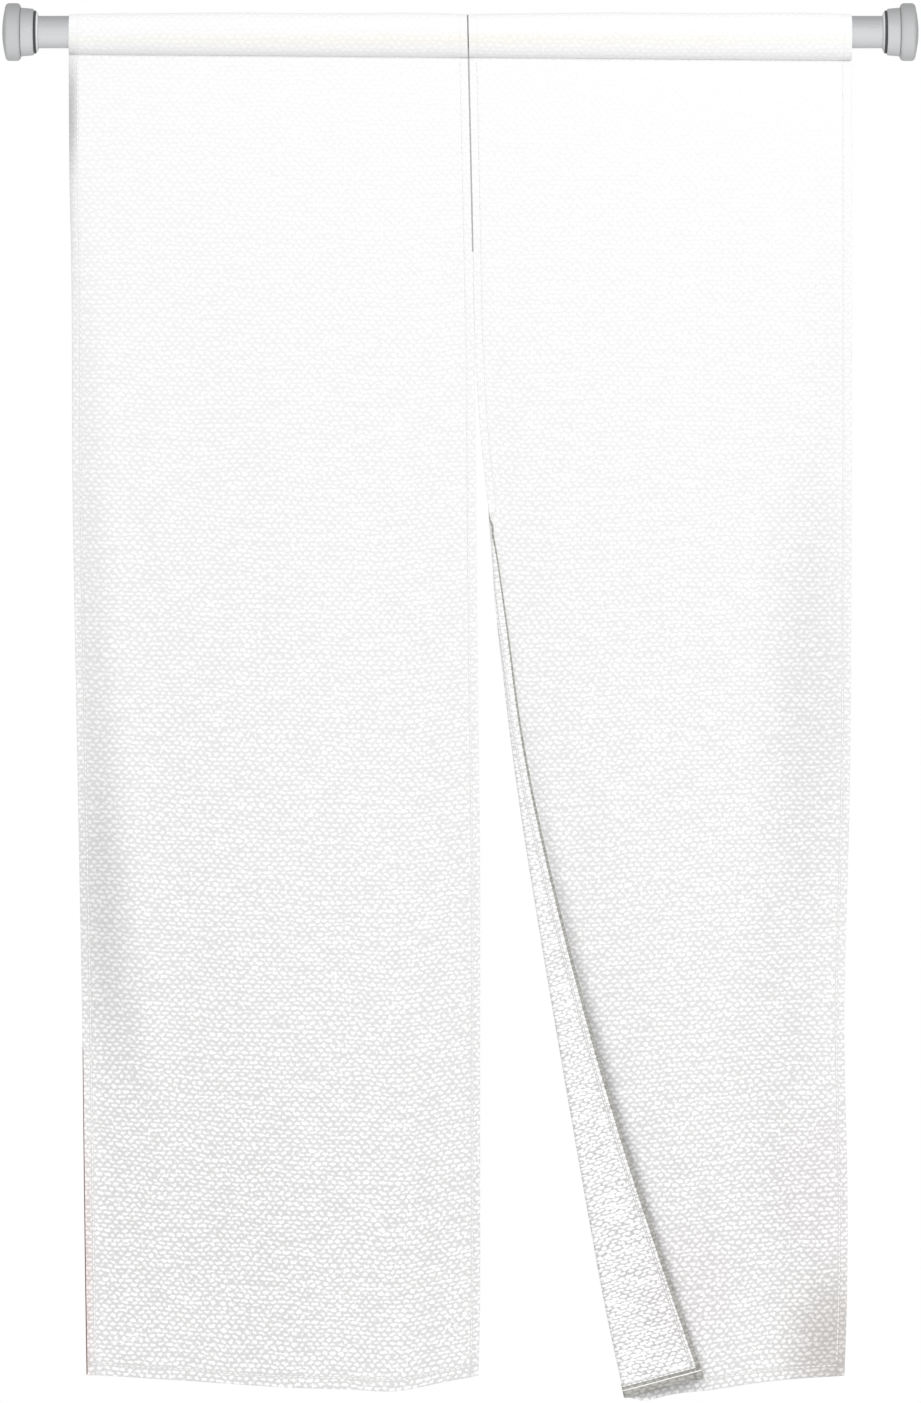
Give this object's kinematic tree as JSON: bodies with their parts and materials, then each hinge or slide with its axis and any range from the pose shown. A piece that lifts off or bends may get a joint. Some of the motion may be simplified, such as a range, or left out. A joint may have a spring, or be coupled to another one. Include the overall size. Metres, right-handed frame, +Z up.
{
  "type": "noren curtain with tension rod",
  "caption": "Plain white linen noren of two hanging panels with a central slit, hung by rod pockets on a round grey tension rod with stepped, padded ends.",
  "frame": {"origin": "centre of the left end pad's flat outer face, on the rod's axis", "axes": "+X along the rod to the right end pad, +Z up, the curtain's front faces -Y"},
  "size_m": [1, 0.063, 1.5267],
  "materials": {
    "linen": "coarse plain weave, matt, white",
    "rod_paint": "satin light grey paint on steel tube",
    "pad_rubber": "matt grey moulded rubber",
    "collar_plastic": "light grey moulded plastic",
    "ring_plastic": "charcoal moulded plastic",
    "bush_plastic": "white moulded plastic"
  },
  "bodies": {
    "root": {"panel_left": "linen", "panel_right": "linen", "rod_tube": "rod_paint", "left_end_pad": "pad_rubber", "right_end_pad": "pad_rubber", "left_end_collar": "collar_plastic", "right_end_collar": "collar_plastic", "left_lock_ring": "ring_plastic", "right_lock_ring": "ring_plastic", "left_bush": "bush_plastic", "right_bush": "bush_plastic"}
  },
  "joints": []
}
